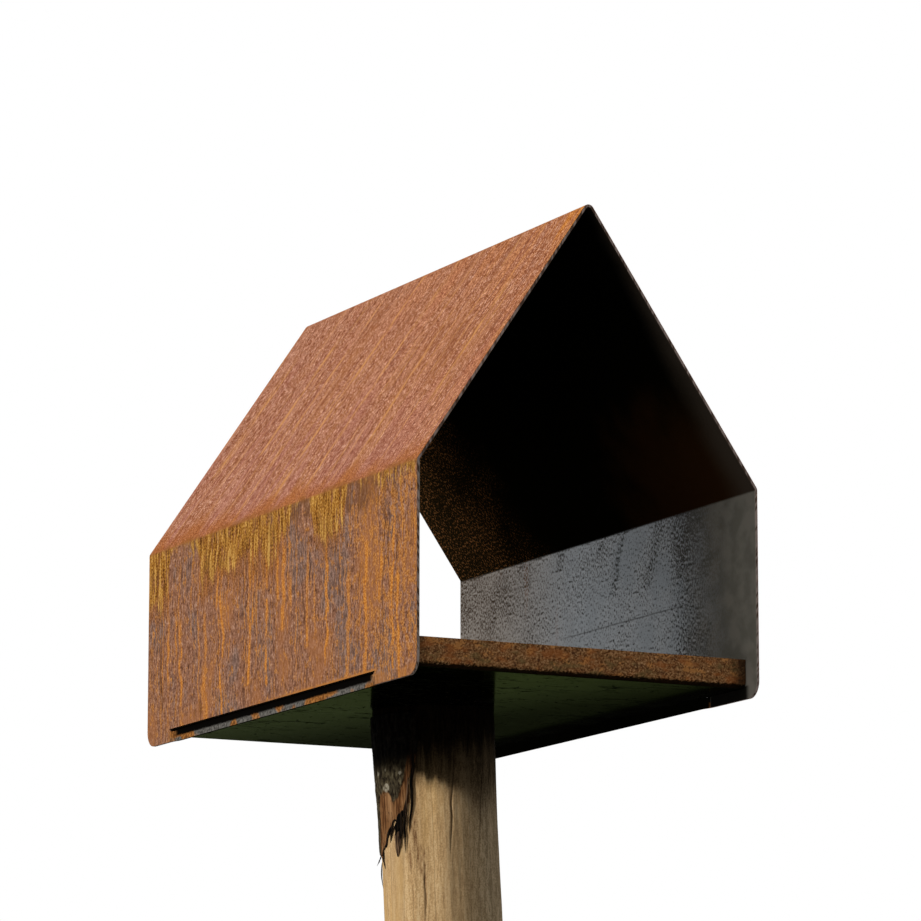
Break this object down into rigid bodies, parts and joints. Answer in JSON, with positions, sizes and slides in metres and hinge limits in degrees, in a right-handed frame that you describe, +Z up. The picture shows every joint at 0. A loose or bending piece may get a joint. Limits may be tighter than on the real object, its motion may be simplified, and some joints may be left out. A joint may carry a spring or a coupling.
{
  "type": "bird feeder",
  "caption": "House-shaped bird feeder folded from rusted steel sheet, open at both gables, with a lipped seed tray, on a natural round wooden post.",
  "frame": {"origin": "middle of the post's foot, at ground level", "axes": "+Z up the post, +Y from the open front gable to the open back gable along the ridge, +X to the right seen from the front"},
  "size_m": [0.25, 0.43, 1.8099],
  "materials": {
    "rusted_shell": "matte",
    "rusted_tray": "matte",
    "peeled_wood": "matte",
    "bark": "matte"
  },
  "bodies": {
    "root": {"folded_shell": "rusted_shell", "floor_tray": "rusted_tray", "post": "peeled_wood", "bark_patch": "bark", "bark_flap": "bark"}
  },
  "joints": []
}
